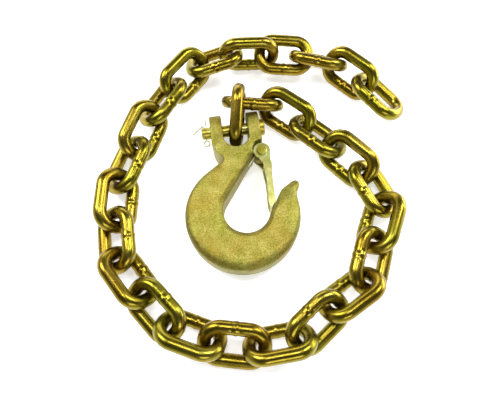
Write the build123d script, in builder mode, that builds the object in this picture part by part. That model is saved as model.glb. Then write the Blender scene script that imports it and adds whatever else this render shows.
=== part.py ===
from build123d import *
from math import cos, hypot, radians, sin
import os

os.makedirs("parts", exist_ok=True)

# ---- driving dimensions, mm ----
WIRE = 10.0  # link wire diameter
LINK_IN_LENGTH = 32.0
LINK_IN_WIDTH = 15.0
CROWN_FLAT = 2.5  # straight run of wire across each crown
BEAD = 0.4  # how far a weld bead stands off the wire
BEAD_R = 1.4
REST = 5.53  # a resting bar's centre off the ground, clear of its bead
STEP = 31.0  # link centre to link centre, 1 mm short of pulled tight
TWIST_STEP = 30.3  # the same where the chain takes its extra quarter twist

PIN_X, PIN_Y, PIN_Z = -15.0, 46.86, 15.13  # clevis pin centre
PIN_R = 4.75
EAR_BORE_R = 4.83
HEAD_R = 6.7
HEAD_T = 3.8
HEAD_GAP = 0.3  # pin and rivet heads stand this far off what they hold
PIN_LEFT = -26.7  # free end of the pin, from the pin centre
COTTER_R = 0.55
LEG_OUT = 0.6  # cotter leg centre off the cotter's middle
COTTER_HOLE_R = 1.2
COTTER_X = -23.6
EYE_R = 2.2  # cotter eye
EYE_FLARE = 50  # each leg turns out by this much into the eye, degrees

EAR_OUT = 19.5  # half width over the ears
SLOT = 10.0  # half width of the clevis slot
EAR_R = 13.0  # rounded ear end about the pin
BODY_T = 26.0  # forged body thickness
BEVEL = 3.5
TILT = 1.08  # link_01 holds the clevis end up by this angle

PIVOT_X, PIVOT_Y = 18.1, -24.4  # latch rivet, from the pin centre
BOSS_R = 6.5
CHEEK_R = 6.5
CHEEK_IN = 6.3  # mid plane to the inside of a latch cheek
SHEET = 1.6  # latch sheet thickness
RELIEF_R = 7.3
RIVET_R = 2.5
RIVET_BORE_R = 2.56
CHEEK_BORE_R = 2.58
RIVET_HEAD_R = 4.0
RIVET_HEAD_T = 1.3
BOSS_UP = 2.4  # boss top above the mid plane, leaving room for the spring
SPRING_WIRE = 1.0
SPRING_R = 3.3
SPRING_UP = 0.62  # coil's first turn above the boss top
SPRING_PITCH = 1.08
SPRING_TURNS = 2.392
SPRING_START = 143  # where the coil leaves its lower leg, degrees

WIRE_R = WIRE / 2
HALF_IN = LINK_IN_LENGTH / 2
APEX = HALF_IN + WIRE_R  # link centre to the wire centre at a crown
RAIL = (LINK_IN_WIDTH + WIRE) / 2  # link centre to the wire centre of a bar
CORNER_R = RAIL - CROWN_FLAT / 2
HALF_RAIL = APEX - CORNER_R

# heading (anticlockwise from +X), lean of the left bar, rise of the front, all
# in degrees, then how far a neighbour holds the link off the ground, in mm
LAY = [
    (78, 89, 24, 0),
    (349, -55, -3, 0),
    (316, 49, -1, 1.3),
    (313, -33, -1, 1),
    (308, 43, 0, 0),
    (289, -30, -1, 0),
    (242, 46, -2, 0),
    (245, -32, -2, 2),
    (207, 46, -2, 2),
    (215, -36, -6, 2),
    (182, 48, -4, 0),
    (166, -34, 0, 0),
    (153, 42, 2, 0),
    (126, -34, 1, 0),
    (121, 42, 3, 0),
    (91, -33, 2, 1),
    (82, 44, 1, 1),
    (63, -33, 2, 2),
    (62, 46, 4, 1),
    (50, -36, 3, 2.5),
    (45, 51, 0, 1),
    (6, -27, 10, 2.5),
    (355, 85, -1, 0.5),
    (351, 19, -4, 6.5),
    (336, -48, 2, 0),
    (311, 58, -1, 0),
    (305, -27, -6, 2),
]
TWISTED = range(22, 28)
LINK_1_AT = 1.8  # where along the pin the first link hangs
LINK_1_REACH = 9.7  # from there to the first link's centre
LINK_2_AT = (17.6, 22.4)  # second link's centre, from the pin centre


# ---- chain ----
def link_height(lean, rise, lift):
    """Height of a link's centre when its lowest bar lies on the ground."""
    tilt = RAIL * hypot(sin(rise), sin(lean) * cos(rise))
    straight = (APEX - RAIL) * abs(sin(rise))
    return REST + straight + tilt + lift


def link_planes():
    """One plane per link: X along its heading, Y across it, origin at its centre."""
    planes = []
    x, y, previous = 0.0, 0.0, None
    for number, (heading, lean, rise, lift) in enumerate(LAY, start=1):
        lean_a, rise_a = radians(lean), radians(rise)
        ahead = Vector(1, 0, 0).rotate(Axis.Z, heading)
        if number == 1:
            x = PIN_X + LINK_1_AT + LINK_1_REACH * cos(rise_a) * ahead.X
            y = PIN_Y + LINK_1_REACH * cos(rise_a) * ahead.Y
        elif number == 2:
            x, y = PIN_X + LINK_2_AT[0], PIN_Y + LINK_2_AT[1]
        else:
            step = TWIST_STEP if number in TWISTED else STEP
            x += step / 2 * (previous.X + ahead.X)
            y += step / 2 * (previous.Y + ahead.Y)
        previous = ahead
        left = Vector(0, 0, 1).cross(ahead)
        along = ahead * cos(rise_a) + Vector(0, 0, 1) * sin(rise_a)
        upward = along.cross(left)
        across = left * cos(lean_a) + upward * sin(lean_a)
        centre = Vector(x, y, link_height(lean_a, rise_a, lift))
        planes.append(Plane(origin=centre, x_dir=along, z_dir=along.cross(across)))
    return planes


def chain_link(plane):
    """A welded link: round wire bent to a ring, with its weld bead on one bar."""
    with BuildPart() as link:
        with BuildLine(plane) as ring:
            Line((-HALF_RAIL, -RAIL), (HALF_RAIL, -RAIL))
            JernArc(ring.line @ 1, (1, 0), CORNER_R, 90)
            Line((APEX, -CROWN_FLAT / 2), (APEX, CROWN_FLAT / 2))
            JernArc((APEX, CROWN_FLAT / 2), (0, 1), CORNER_R, 90)
            Line((HALF_RAIL, RAIL), (-HALF_RAIL, RAIL))
            JernArc((-HALF_RAIL, RAIL), (-1, 0), CORNER_R, 90)
            Line((-APEX, CROWN_FLAT / 2), (-APEX, -CROWN_FLAT / 2))
            JernArc((-APEX, -CROWN_FLAT / 2), (0, -1), CORNER_R, 90)
        section = Plane(origin=plane.from_local_coords((0, -RAIL, 0)), z_dir=plane.x_dir)
        with BuildSketch(section):
            Circle(WIRE_R)
        sweep(path=ring.wire())
        with Locations(section.location):
            Torus(WIRE_R + BEAD - BEAD_R, BEAD_R)
    return link


for number, plane in enumerate(link_planes(), start=1):
    chain_piece = chain_link(plane)
    chain_piece.part.label = f"link_{number:02d}"
    export_step(chain_piece.part, f"parts/link_{number:02d}.step")


# ---- hook ----
# the hook's own planes meet at the pin centre; the bowl end dips to the ground
tilt = radians(TILT)
mid = Plane(origin=(PIN_X, PIN_Y, PIN_Z), x_dir=(1, 0, 0), z_dir=(0, -sin(tilt), cos(tilt)))
low = mid.offset(-EAR_R)
across_x = Plane(origin=mid.origin, x_dir=mid.y_dir, z_dir=(1, 0, 0))

with BuildPart() as hook:
    # bowl, back and shank
    with BuildSketch(mid.offset(-BODY_T / 2)):
        with BuildLine():
            back = CenterArc((-3.2, -73.5), 42.8, 126, 244)
            tip = CenterArc((39.3, -55.0), 3.7, -20, 150)
            Spline(back @ 1, (40.2, -59.8), tip @ 0, tangents=((-0.17, 0.98), (0.34, 0.94)))
            lip = Spline(
                tip @ 1,
                (29.0, -57.5),
                (23.7, -65.4),
                (19.6, -71.9),
                (16.44, -76.99),
                tangents=((-0.77, -0.64), (-0.34, -0.94)),
            )
            bowl = ThreePointArc(lip @ 1, (0.0, -88.5), (-13.99, -60.49))
            Polyline(bowl @ 1, (11.5, -26.6), (11.0, -16.0), (-11.0, -16.0), (-12.1, -28.5), back @ 0)
        make_face()
    extrude(amount=BODY_T)
    rims = hook.faces().filter_by(lambda face: abs(face.normal_at().dot(mid.z_dir)) > 0.9).edges()
    chamfer(rims.filter_by(lambda edge: edge.center().Y < PIN_Y - 30), BEVEL)
    # the lip thins towards its tip
    with BuildSketch(across_x.offset(15)):
        Polygon((-69, 14), (-69, 13), (-49, 7.5), (-49, 14), align=None)
        Polygon((-69, -14), (-69, -13), (-49, -7.5), (-49, -14), align=None)
    extrude(amount=30, mode=Mode.SUBTRACT)
    # clevis block with ears rounded about the pin
    with BuildSketch(across_x.offset(-EAR_OUT)):
        Circle(EAR_R)
        Polygon((-28.5, -EAR_R), (0, -EAR_R), (0, EAR_R), (-28.5, EAR_R), align=None)
    extrude(amount=2 * EAR_OUT)
    # flanks narrow to the neck
    with BuildSketch(low):
        with BuildLine():
            flank = Spline((-EAR_OUT, -7.0), (-18.6, -18.0), (-14.9, -25.2), (-12.1, -28.5))
            Polyline(flank @ 1, (-25, -28.5), (-25, -7.0), flank @ 0)
        make_face()
        Polygon((10.0, -28.6), (11.5, -26.6), (EAR_OUT, -19.0), (25, -19.0), (25, -28.6), align=None)
    extrude(amount=2 * EAR_R, mode=Mode.SUBTRACT)
    # slot for the first link
    with BuildSketch(low):
        with Locations((0, -SLOT - 0.4)):
            Circle(SLOT)
        Polygon((-SLOT, -SLOT - 0.4), (SLOT, -SLOT - 0.4), (SLOT, 20), (-SLOT, 20), align=None)
    extrude(amount=2 * EAR_R, mode=Mode.SUBTRACT)
    # latch cheeks run in a relief either side of a boss
    with BuildSketch(mid.offset(BOSS_UP)):
        with Locations((PIVOT_X, PIVOT_Y)):
            Circle(RELIEF_R)
    extrude(amount=EAR_R, mode=Mode.SUBTRACT)
    with BuildSketch(low):
        with Locations((PIVOT_X, PIVOT_Y)):
            Circle(RELIEF_R)
    extrude(amount=EAR_R - CHEEK_IN + 0.3, mode=Mode.SUBTRACT)
    with BuildSketch(mid.offset(0.3 - CHEEK_IN)):
        with Locations((PIVOT_X, PIVOT_Y)):
            Circle(BOSS_R)
    extrude(amount=CHEEK_IN - 0.3 + BOSS_UP)
    with BuildSketch(mid):
        with Locations((PIVOT_X, PIVOT_Y)):
            Circle(RIVET_BORE_R)
    extrude(amount=EAR_R, both=True, mode=Mode.SUBTRACT)
    with BuildSketch(across_x.offset(-30)):
        Circle(EAR_BORE_R)
    extrude(amount=60, mode=Mode.SUBTRACT)

hook.part.label = "hook"
export_step(hook.part, "parts/hook.step")


# ---- clevis pin and cotter ----
cotter_plane = Plane(origin=mid.from_local_coords((COTTER_X, 0, 0)), x_dir=(1, 0, 0), z_dir=mid.z_dir)
cotter_bore = Plane(origin=cotter_plane.origin, x_dir=(1, 0, 0), z_dir=mid.y_dir)

with BuildPart() as clevis_pin:
    with BuildSketch(across_x.offset(PIN_LEFT)):
        Circle(PIN_R)
    extrude(amount=EAR_OUT + 1 - PIN_LEFT)
    chamfer(clevis_pin.edges().sort_by(Axis.X)[0], 0.7)
    with BuildSketch(across_x.offset(EAR_OUT + HEAD_GAP)):
        Circle(HEAD_R)
    extrude(amount=HEAD_T)
    chamfer(clevis_pin.edges().sort_by(Axis.X)[-1], 0.5)
    with BuildSketch(cotter_bore):
        Circle(COTTER_HOLE_R)
    extrude(amount=HEAD_R, both=True, mode=Mode.SUBTRACT)

clevis_pin.part.label = "clevis_pin"
export_step(clevis_pin.part, "parts/clevis_pin.step")

flare = radians(EYE_FLARE)
flare_r = (EYE_R * cos(flare) - LEG_OUT) / (1 - cos(flare))

with BuildPart() as cotter_pin:
    with BuildLine(cotter_plane) as wire:
        Line((LEG_OUT, 16.0), (LEG_OUT, -5.6))
        out = JernArc((LEG_OUT, -5.6), (0, -1), flare_r, EYE_FLARE)
        eye = JernArc(out @ 1, out % 1, EYE_R, -180 - 2 * EYE_FLARE)
        back_in = JernArc(eye @ 1, eye % 1, flare_r, EYE_FLARE)
        straight_leg = Line(back_in @ 1, cotter_plane.from_local_coords((-LEG_OUT, 5.4, 0)))
        bend = JernArc(straight_leg @ 1, straight_leg % 1, 1.4, 130)
        end_leg = Line(bend @ 1, (bend @ 1) + (bend % 1) * 9.5)
    with BuildSketch(Plane(origin=wire.wire() @ 0, z_dir=wire.wire() % 0)):
        Circle(COTTER_R)
    sweep(path=wire.wire(), transition=Transition.RIGHT)

cotter_pin.part.label = "cotter_pin"
export_step(cotter_pin.part, "parts/cotter_pin.step")


# ---- latch, its rivet and its spring ----
outer_face = CHEEK_IN + SHEET

with BuildPart() as latch:
    # two cheeks
    with BuildSketch(mid.offset(CHEEK_IN), mid.offset(-outer_face)):
        with Locations((PIVOT_X, PIVOT_Y)):
            Circle(CHEEK_R)
        Polygon(
            (14.0, -29.2),
            (17.4, -34.0),
            (18.3, -48.7),
            (17.1, -66.0),
            (17.6, -70.2),
            (19.0, -71.2),
            (22.2, -66.4),
            (22.5, -48.7),
            (23.6, -34.0),
            (24.6, -24.4),
            align=None,
        )
    extrude(amount=SHEET)
    # web down the outer edge and round the end
    with BuildSketch(mid.offset(-outer_face)):
        with BuildLine():
            edge = Polyline((24.3, -34.5), (22.9, -48.7), (22.3, -66.5), (19.0, -71.3))
            offset(amount=SHEET, side=Side.RIGHT)
        make_face()
    extrude(amount=2 * outer_face)
    with BuildSketch(mid):
        with Locations((PIVOT_X, PIVOT_Y)):
            Circle(CHEEK_BORE_R)
    extrude(amount=EAR_R, both=True, mode=Mode.SUBTRACT)

latch.part.label = "latch"
export_step(latch.part, "parts/latch.step")

with BuildPart() as latch_rivet:
    with BuildSketch(mid):
        with Locations((PIVOT_X, PIVOT_Y)):
            Circle(RIVET_R)
    extrude(amount=outer_face + HEAD_GAP + 0.2, both=True)
    with BuildSketch(mid.offset(outer_face + HEAD_GAP), mid.offset(-outer_face - HEAD_GAP - RIVET_HEAD_T)):
        with Locations((PIVOT_X, PIVOT_Y)):
            Circle(RIVET_HEAD_R)
    extrude(amount=RIVET_HEAD_T)
    chamfer(latch_rivet.edges().sort_by(Axis.Z)[-1], 0.6)
    chamfer(latch_rivet.edges().sort_by(Axis.Z)[0], 0.6)

latch_rivet.part.label = "latch_rivet"
export_step(latch_rivet.part, "parts/latch_rivet.step")


def coil_point(turn):
    """A point on the spring's coil, which winds up clockwise off the boss."""
    angle = radians(SPRING_START - 360 * turn)
    x, y = PIVOT_X + SPRING_R * cos(angle), PIVOT_Y + SPRING_R * sin(angle)
    return (x, y, BOSS_UP + SPRING_UP + SPRING_PITCH * turn)


def leg_points(corner, heading, distances):
    """Points on a straight spring leg that leaves a coil end at this heading."""
    dx, dy = cos(radians(heading)), sin(radians(heading))
    return [(corner[0] + d * dx, corner[1] + d * dy, corner[2]) for d in distances]


# a leg off each end: one lies along the hook's shank, one along the latch web
coil = [coil_point(SPRING_TURNS * step / 28) for step in range(29)]
shank_leg = leg_points(coil[0], 233, (15, 11, 7, 4, 1.5))
web_leg = leg_points(coil[-1], 270.5, (1.5, 4, 7, 10, 13.5))

with BuildPart() as latch_spring:
    with BuildLine(mid) as spring_path:
        Spline(*shank_leg, *coil, *web_leg)
    with BuildSketch(Plane(origin=spring_path.line @ 0, z_dir=spring_path.line % 0)):
        Circle(SPRING_WIRE / 2)
    sweep(path=spring_path.line)

latch_spring.part.label = "latch_spring"
export_step(latch_spring.part, "parts/latch_spring.step")
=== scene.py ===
import math

import bmesh
import bpy
import numpy as np
from mathutils import Matrix, Vector


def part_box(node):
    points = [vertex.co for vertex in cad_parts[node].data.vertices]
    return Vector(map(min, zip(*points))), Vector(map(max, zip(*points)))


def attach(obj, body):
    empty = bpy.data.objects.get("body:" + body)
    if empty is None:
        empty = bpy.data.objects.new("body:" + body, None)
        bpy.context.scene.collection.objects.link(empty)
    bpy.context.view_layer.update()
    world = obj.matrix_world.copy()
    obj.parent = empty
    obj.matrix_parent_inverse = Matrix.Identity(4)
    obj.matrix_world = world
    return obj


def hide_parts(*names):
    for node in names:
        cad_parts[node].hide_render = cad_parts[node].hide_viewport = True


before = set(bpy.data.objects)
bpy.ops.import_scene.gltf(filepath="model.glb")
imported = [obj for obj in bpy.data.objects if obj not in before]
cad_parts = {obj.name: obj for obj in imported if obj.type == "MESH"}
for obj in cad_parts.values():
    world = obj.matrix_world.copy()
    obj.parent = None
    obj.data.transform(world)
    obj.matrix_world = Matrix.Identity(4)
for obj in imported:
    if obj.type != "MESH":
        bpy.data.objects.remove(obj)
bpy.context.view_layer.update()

# link wire in metres, as in the CAD source
WIRE_R = 0.005
RAIL = 0.0125
APEX = 0.021
CORNER_R = 0.01125
HALF_RAIL = APEX - CORNER_R
LINKS = sorted(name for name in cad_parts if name.startswith("link_"))
BAR_STEP, BAR_SIDES = 0.0006, 40  # mesh spacing along a bar, and faces round it
FIRST_SEED = 100
SKIN = 0.00010  # the drawn bar lies this far inside the CAD bar
WAVE = 0.00008  # slow unevenness of the drawn bar
WELD = 0.00034  # how far the weld flash stands up
WELD_REACH = 0.0011
WELD_EVEN = 0.65  # the share of the flash that is the same all round the bar
DIP = 0.00016  # the shallow dip either side of the weld
DIP_AT, DIP_REACH = 0.0027, 0.0009

# hook
VOXEL = 0.0006
BACK_TO_PIN = 0.046  # hook's leftmost point to the pin's middle, along X
PIN_TO_BOWL = 0.071  # pin to the bowl's centre, along Y
PIN_TO_NECK = 0.026
OUTER_FROM, OUTER_OVER = 0.024, 0.010  # where the outer edge starts to melt, and over what length
NECK_OVER = 0.010  # the melt fades out over this length towards the neck
SOFT_PASSES, MELT_PASSES = 7, 130  # smoothing of the whole forging and of its outer edge

EDGE_ANGLE = math.radians(30)  # edges of the small parts sharper than this are eased


# ---- materials ----
class Nodes:
    """Short calls for building one material's node tree."""

    def __init__(self, name):
        self.material = bpy.data.materials.new(name)
        self.material.use_nodes = True
        self.tree = self.material.node_tree
        self.shader = self.tree.nodes["Principled BSDF"]
        self.place = self.add("ShaderNodeTexCoord").outputs["Object"]

    def add(self, kind, **settings):
        node = self.tree.nodes.new(kind)
        for key, value in settings.items():
            setattr(node, key, value)
        return node

    def link(self, out, into):
        self.tree.links.new(out, into)

    def noise(self, scale, detail=3.0, roughness=0.55, offset=0.0):
        node = self.add("ShaderNodeTexNoise")
        if offset:
            shift = self.add("ShaderNodeVectorMath", operation="ADD")
            shift.inputs[1].default_value = (offset, offset * 0.7, offset * 1.3)
            self.link(self.place, shift.inputs[0])
            self.link(shift.outputs[0], node.inputs["Vector"])
        else:
            self.link(self.place, node.inputs["Vector"])
        node.inputs["Scale"].default_value = scale
        node.inputs["Detail"].default_value = detail
        node.inputs["Roughness"].default_value = roughness
        return node.outputs["Fac"]

    def ramp(self, fac, stops):
        node = self.add("ShaderNodeValToRGB")
        while len(node.color_ramp.elements) < len(stops):
            node.color_ramp.elements.new(0.5)
        for element, (at, colour) in zip(node.color_ramp.elements, stops):
            element.position = at
            element.color = (*colour, 1)
        self.link(fac, node.inputs["Fac"])
        return node.outputs["Color"]

    def multiply(self, fac, a, b):
        node = self.add("ShaderNodeMix", data_type="RGBA", blend_type="MULTIPLY")
        node.inputs[0].default_value = fac
        self.link(a, node.inputs[6])
        self.link(b, node.inputs[7])
        return node.outputs[2]

    def spread(self, fac, low, high):
        node = self.add("ShaderNodeMapRange")
        node.inputs["To Min"].default_value = low
        node.inputs["To Max"].default_value = high
        self.link(fac, node.inputs["Value"])
        return node.outputs["Result"]

    def bump(self, height, distance, normal=None):
        node = self.add("ShaderNodeBump")
        node.inputs["Distance"].default_value = distance
        node.inputs["Strength"].default_value = 1.0
        self.link(height, node.inputs["Height"])
        if normal is not None:
            self.link(normal, node.inputs["Normal"])
        return node.outputs["Normal"]


def plated(name, base, tints, rough, grain, grain_height, mottle_scale=60.0, speckle=0.2):
    """Zinc plated steel: a metal whose tint wanders, with a fine surface grain."""
    n = Nodes(name)
    wander = n.noise(mottle_scale, 4.0, 0.6)
    drift = n.noise(mottle_scale * 0.35, 2.0, 0.5, 3.1)
    low, high, pink, green = tints
    colour = n.ramp(wander, [(0.3, low), (0.5, base), (0.72, high)])
    tinted = n.ramp(drift, [(0.38, green), (0.5, (1.0, 1.0, 1.0)), (0.62, pink)])
    dark, clear = (0.52, 0.50, 0.40), (1.0, 1.0, 1.0)
    speck = n.ramp(n.noise(grain * 1.1, 2.0, 0.7, 2.3), [(0.40, dark), (0.60, clear)])
    plate = n.multiply(0.75, colour, tinted)
    n.link(n.multiply(speckle, plate, speck), n.shader.inputs["Base Color"])
    n.shader.inputs["Metallic"].default_value = 1.0
    dull = n.spread(n.noise(grain * 0.3, 3.0, 0.6, 1.7), *rough)
    n.link(dull, n.shader.inputs["Roughness"])
    fine = n.bump(n.noise(grain, 4.0, 0.65), grain_height)
    coarse = n.noise(grain * 0.12, 2.0, 0.5, 5.3)
    n.link(n.bump(coarse, grain_height * 2.0, fine), n.shader.inputs["Normal"])
    return n.material


gold = plated(
    "chain_plating",
    (0.26, 0.20, 0.022),
    ((0.20, 0.15, 0.012), (0.33, 0.27, 0.042), (1.0, 0.86, 0.76), (0.86, 1.0, 0.68)),
    (0.22, 0.32),
    150.0,
    0.000008,
)
forged = plated(
    "hook_plating",
    (0.34, 0.30, 0.062),
    ((0.28, 0.24, 0.04), (0.42, 0.38, 0.105), (1.0, 0.90, 0.80), (0.90, 1.0, 0.82)),
    (0.36, 0.50),
    1000.0,
    0.00040,
    120.0,
    0.9,
)
sheet = plated(
    "latch_plating",
    (0.44, 0.42, 0.13),
    ((0.32, 0.32, 0.08), (0.66, 0.66, 0.38), (1.0, 0.92, 0.80), (0.86, 1.0, 0.84)),
    (0.30, 0.42),
    900.0,
    0.00005,
    130.0,
)
turned = plated(
    "pin_plating",
    (0.48, 0.40, 0.06),
    ((0.34, 0.27, 0.03), (0.74, 0.68, 0.26), (1.0, 0.90, 0.78), (0.88, 1.0, 0.78)),
    (0.28, 0.42),
    900.0,
    0.00006,
    120.0,
)
pale = plated(
    "wire_plating",
    (0.66, 0.66, 0.46),
    ((0.54, 0.55, 0.34), (0.82, 0.82, 0.64), (1.0, 0.94, 0.84), (0.88, 1.0, 0.86)),
    (0.24, 0.36),
    1200.0,
    0.00004,
    160.0,
)


def finish_piece(piece, material):
    piece.data.materials.clear()
    piece.data.materials.append(material)
    for polygon in piece.data.polygons:
        polygon.use_smooth = True


# ---- chain links ----
def ring_points():
    """Centre line of a link's wire, evenly spaced, from the middle of the right bar."""
    flat = RAIL - CORNER_R
    arc = math.pi / 2 * CORNER_R
    runs = [("line", HALF_RAIL, (0, -RAIL), 0)]
    runs += [("arc", arc, (HALF_RAIL, -flat), -90), ("line", 2 * flat, (APEX, -flat), 90)]
    runs += [("arc", arc, (HALF_RAIL, flat), 0), ("line", 2 * HALF_RAIL, (HALF_RAIL, RAIL), 180)]
    runs += [("arc", arc, (-HALF_RAIL, flat), 90), ("line", 2 * flat, (-APEX, flat), 270)]
    runs += [("arc", arc, (-HALF_RAIL, -flat), 180), ("line", HALF_RAIL, (-HALF_RAIL, -RAIL), 0)]
    points = []
    for kind, length, (x, y), angle in runs:
        count = max(2, round(length / BAR_STEP))
        for k in range(count):
            along = length * k / count
            if kind == "line":
                a = math.radians(angle)
                points.append((x + along * math.cos(a), y + along * math.sin(a)))
            else:
                a = math.radians(angle) + along / CORNER_R
                points.append((x + CORNER_R * math.cos(a), y + CORNER_R * math.sin(a)))
    return np.array(points)


def link_mesh(name, seed):
    """A welded link: a fine bar with drawn-wire unevenness and a ground-down weld."""
    rng = np.random.default_rng(seed)
    line = ring_points()
    count, sides = len(line), BAR_SIDES
    tangent = np.roll(line, -1, 0) - np.roll(line, 1, 0)
    tangent /= np.linalg.norm(tangent, axis=1)[:, None]
    outward = np.stack([tangent[:, 1], -tangent[:, 0]], 1)
    travel = np.linalg.norm(np.roll(line, -1, 0) - line, axis=1)
    s = np.concatenate([[0], np.cumsum(travel)[:-1]])
    total = travel.sum()
    from_weld = np.minimum(s, total - s)
    angle = np.linspace(0, 2 * math.pi, sides, endpoint=False)
    phase = rng.uniform(0, 2 * math.pi, 6)
    wave = sum(np.sin(2 * math.pi * (k + 2) * s / total + phase[k]) for k in range(3)) / 3
    weld = WELD * np.exp(-((from_weld / WELD_REACH) ** 2))
    weld = weld - DIP * np.exp(-(((from_weld - DIP_AT) / DIP_REACH) ** 2))
    uneven = 0.5 + 0.5 * np.sin(2 * angle + phase[3]) * np.cos(3 * angle + phase[4])
    flash = weld[:, None] * (WELD_EVEN + (1 - WELD_EVEN) * uneven[None, :])
    radius = WIRE_R - SKIN + WAVE * wave[:, None] + flash
    cross_x, cross_z = np.cos(angle)[None, :] * radius, np.sin(angle)[None, :] * radius
    verts = np.zeros((count, sides, 3))
    verts[:, :, 0] = line[:, None, 0] + outward[:, None, 0] * cross_x
    verts[:, :, 1] = line[:, None, 1] + outward[:, None, 1] * cross_x
    verts[:, :, 2] = cross_z
    faces = []
    for i in range(count):
        j = (i + 1) % count
        for k in range(sides):
            m = (k + 1) % sides
            faces.append((i * sides + k, j * sides + k, j * sides + m, i * sides + m))
    mesh = bpy.data.meshes.new(name)
    mesh.from_pydata(verts.reshape(-1, 3).tolist(), [], faces)
    mesh.update()
    return mesh


def node_pose(node):
    """A link's centre and axes, from its CAD mesh: X along it, Y away from the weld."""
    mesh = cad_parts[node].data
    co = np.array([v.co for v in mesh.vertices], float)
    mesh.calc_loop_triangles()
    tri = np.array([t.vertices for t in mesh.loop_triangles])
    corner = co[tri]
    side_a, side_b = corner[:, 1] - corner[:, 0], corner[:, 2] - corner[:, 0]
    area = np.linalg.norm(np.cross(side_a, side_b), axis=1) / 2
    middle = corner.mean(1)
    weight = area.sum()
    centre = (middle * area[:, None]).sum(0) / weight
    away = middle - centre
    spread = (away * area[:, None]).T @ away / weight
    axes = np.linalg.eigh(spread)[1]
    along, across = axes[:, 2], axes[:, 1]
    side = (co - centre) @ across
    if side.max() > -side.min():
        across = -across
    normal = np.cross(along, across)
    reach = (co - centre) @ along
    centre = centre + along * (reach.max() + reach.min()) / 2
    return Matrix([[along[k], across[k], normal[k], centre[k]] for k in range(3)] + [[0, 0, 0, 1]])


for index, node in enumerate(LINKS):
    piece = bpy.data.objects.new("bar_" + node, link_mesh("bar_" + node, FIRST_SEED + index))
    bpy.context.scene.collection.objects.link(piece)
    piece.data.transform(node_pose(node))
    finish_piece(piece, gold)
    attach(piece, node)
    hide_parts(node)


# ---- hook ----
def evaluated_copy(source, name):
    """A new object with the source's modifiers applied to its mesh."""
    graph = bpy.context.evaluated_depsgraph_get()
    mesh = bpy.data.meshes.new_from_object(source.evaluated_get(graph))
    piece = bpy.data.objects.new(name, mesh)
    bpy.context.scene.collection.objects.link(piece)
    return piece


def forged_hook():
    """The forging: sharp CAD edges melt to forged ones, more so on the outside."""
    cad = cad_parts["hook"]
    rough = bpy.data.objects.new("hook_rough", cad.data.copy())
    bpy.context.scene.collection.objects.link(rough)
    remesh = rough.modifiers.new("remesh", "REMESH")
    remesh.mode = "VOXEL"
    remesh.voxel_size = VOXEL
    remesh.use_smooth_shade = True
    bpy.context.view_layer.update()
    piece = evaluated_copy(rough, "forged_hook")
    bpy.data.objects.remove(rough)
    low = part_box("hook")[0]
    pin_low, pin_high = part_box("clevis_pin")
    pin_y = (pin_low.y + pin_high.y) / 2
    pin_x = low.x + BACK_TO_PIN
    mesh = piece.data
    co = np.array([v.co for v in mesh.vertices], float)
    middle = np.array((pin_x, pin_y - PIN_TO_BOWL))
    reach = np.hypot(co[:, 0] - middle[0], co[:, 1] - middle[1])
    outer = np.clip((reach - OUTER_FROM) / OUTER_OVER, 0, 1)
    outer = outer * np.clip((pin_y - PIN_TO_NECK - co[:, 1]) / NECK_OVER, 0, 1)
    group = piece.vertex_groups.new(name="outer")
    for k, w in enumerate(outer):
        if w > 0.01:
            group.add([k], float(w), "REPLACE")
    soft = piece.modifiers.new("soft", "SMOOTH")
    soft.factor, soft.iterations = 0.5, SOFT_PASSES
    melt = piece.modifiers.new("melt", "SMOOTH")
    melt.factor, melt.iterations, melt.vertex_group = 0.5, MELT_PASSES, "outer"
    return piece


hook = forged_hook()
finish_piece(hook, forged)
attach(hook, "hook")
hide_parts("hook")


# ---- small parts keep their CAD meshes, with their edges eased ----
def ease(node, material, width):
    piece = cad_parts[node]
    bevel = piece.modifiers.new("eased edges", "BEVEL")
    bevel.width = width
    bevel.segments = 3
    bevel.limit_method = "ANGLE"
    bevel.angle_limit = EDGE_ANGLE
    bevel.harden_normals = True
    finish_piece(piece, material)


ease("latch", sheet, 0.00035)
ease("latch_rivet", turned, 0.00025)
ease("clevis_pin", turned, 0.0003)
ease("cotter_pin", pale, 0.0001)
ease("latch_spring", pale, 0.0001)


# ---- floor, light and camera ----
GROUND_REACH = 20.0
GROUND_GLOW = 0.55  # keeps the floor white where the lamps don't reach
WALL_TOP, CEILING_FROM = 0.22, 0.50  # heights on the unit sphere of directions
WALL_GREY, CEILING_GREY = 0.80, 0.09
CAMERA_AIM = Vector((-0.0107, -0.0105, 0.0))
AIM_TO_CAMERA = Vector((-0.0161, -0.1146, 0.3161))  # a third of a metre, about 70 degrees up
LENS, SENSOR = 30.4, 36.0  # millimetres

mesh = bpy.data.meshes.new("ground")
grid = bmesh.new()
bmesh.ops.create_grid(grid, x_segments=4, y_segments=4, size=GROUND_REACH)
grid.to_mesh(mesh)
grid.free()
ground = bpy.data.objects.new("ground", mesh)
bpy.context.scene.collection.objects.link(ground)
white = Nodes("white_ground")
white.link(
    white.ramp(white.noise(3.0), [(0.3, (0.93, 0.93, 0.93)), (0.7, (0.95, 0.95, 0.95))]),
    white.shader.inputs["Base Color"],
)
white.shader.inputs["Roughness"].default_value = 0.9
white.shader.inputs["Emission Color"].default_value = (1, 1, 1, 1)
white.shader.inputs["Emission Strength"].default_value = GROUND_GLOW
ground.data.materials.append(white.material)


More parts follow.
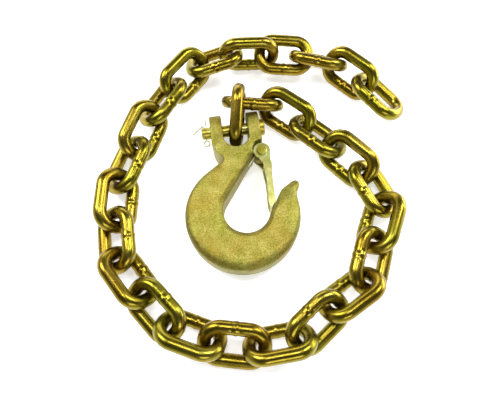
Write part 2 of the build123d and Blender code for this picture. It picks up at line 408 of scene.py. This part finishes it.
def soft_box(name, at, aim, size, power):
    light = bpy.data.lights.new(name, "AREA")
    light.shape = "RECTANGLE"
    light.size, light.size_y = size
    light.energy = power
    lamp = bpy.data.objects.new(name, light)
    bpy.context.scene.collection.objects.link(lamp)
    lamp.location = at
    lamp.rotation_euler = (Vector(aim) - Vector(at)).to_track_quat("-Z", "Y").to_euler()


soft_box("top_left", (-0.55, 0.35, 0.75), (0, 0, 0), (0.35, 0.5), 7.0)
soft_box("top_right", (0.6, 0.25, 0.8), (0, 0, 0), (0.3, 0.5), 6.0)
soft_box("front", (0.1, -0.9, 0.6), (0, 0, 0), (0.6, 0.25), 2.6)
soft_box("right_wall", (1.0, 0.30, 0.20), (0, 0, 0.02), (0.9, 0.36), 7.0)
soft_box("back_wall", (-0.1, 1.0, 0.22), (0, 0, 0.02), (0.9, 0.3), 3.0)
soft_box("overhead", (0.0, 0.1, 1.1), (0, 0, 0), (0.35, 0.2), 3.2)

# a pale studio wall to just above the horizon, under a dim ceiling
world = bpy.data.worlds.new("studio")
bpy.context.scene.world = world
world.use_nodes = True
tree = world.node_tree
heading = tree.nodes.new("ShaderNodeTexCoord")
split = tree.nodes.new("ShaderNodeSeparateXYZ")
wall = tree.nodes.new("ShaderNodeValToRGB")
ends = (WALL_TOP, WALL_GREY), (CEILING_FROM, CEILING_GREY)
for element, (at, grey) in zip(wall.color_ramp.elements, ends):
    element.position = at
    element.color = (grey, grey, grey, 1)
tree.links.new(heading.outputs["Generated"], split.inputs[0])
tree.links.new(split.outputs["Z"], wall.inputs["Fac"])
tree.links.new(wall.outputs["Color"], tree.nodes["Background"].inputs["Color"])
tree.nodes["Background"].inputs["Strength"].default_value = 1.0

bpy.context.scene.view_settings.view_transform = "Standard"

camera = bpy.data.objects.new("camera", bpy.data.cameras.new("camera"))
bpy.context.scene.collection.objects.link(camera)
camera.data.lens = LENS
camera.data.sensor_width = SENSOR
camera.data.clip_start = 0.01
camera.location = CAMERA_AIM + AIM_TO_CAMERA
camera.rotation_euler = (CAMERA_AIM - camera.location).to_track_quat("-Z", "Y").to_euler()
bpy.context.scene.camera = camera
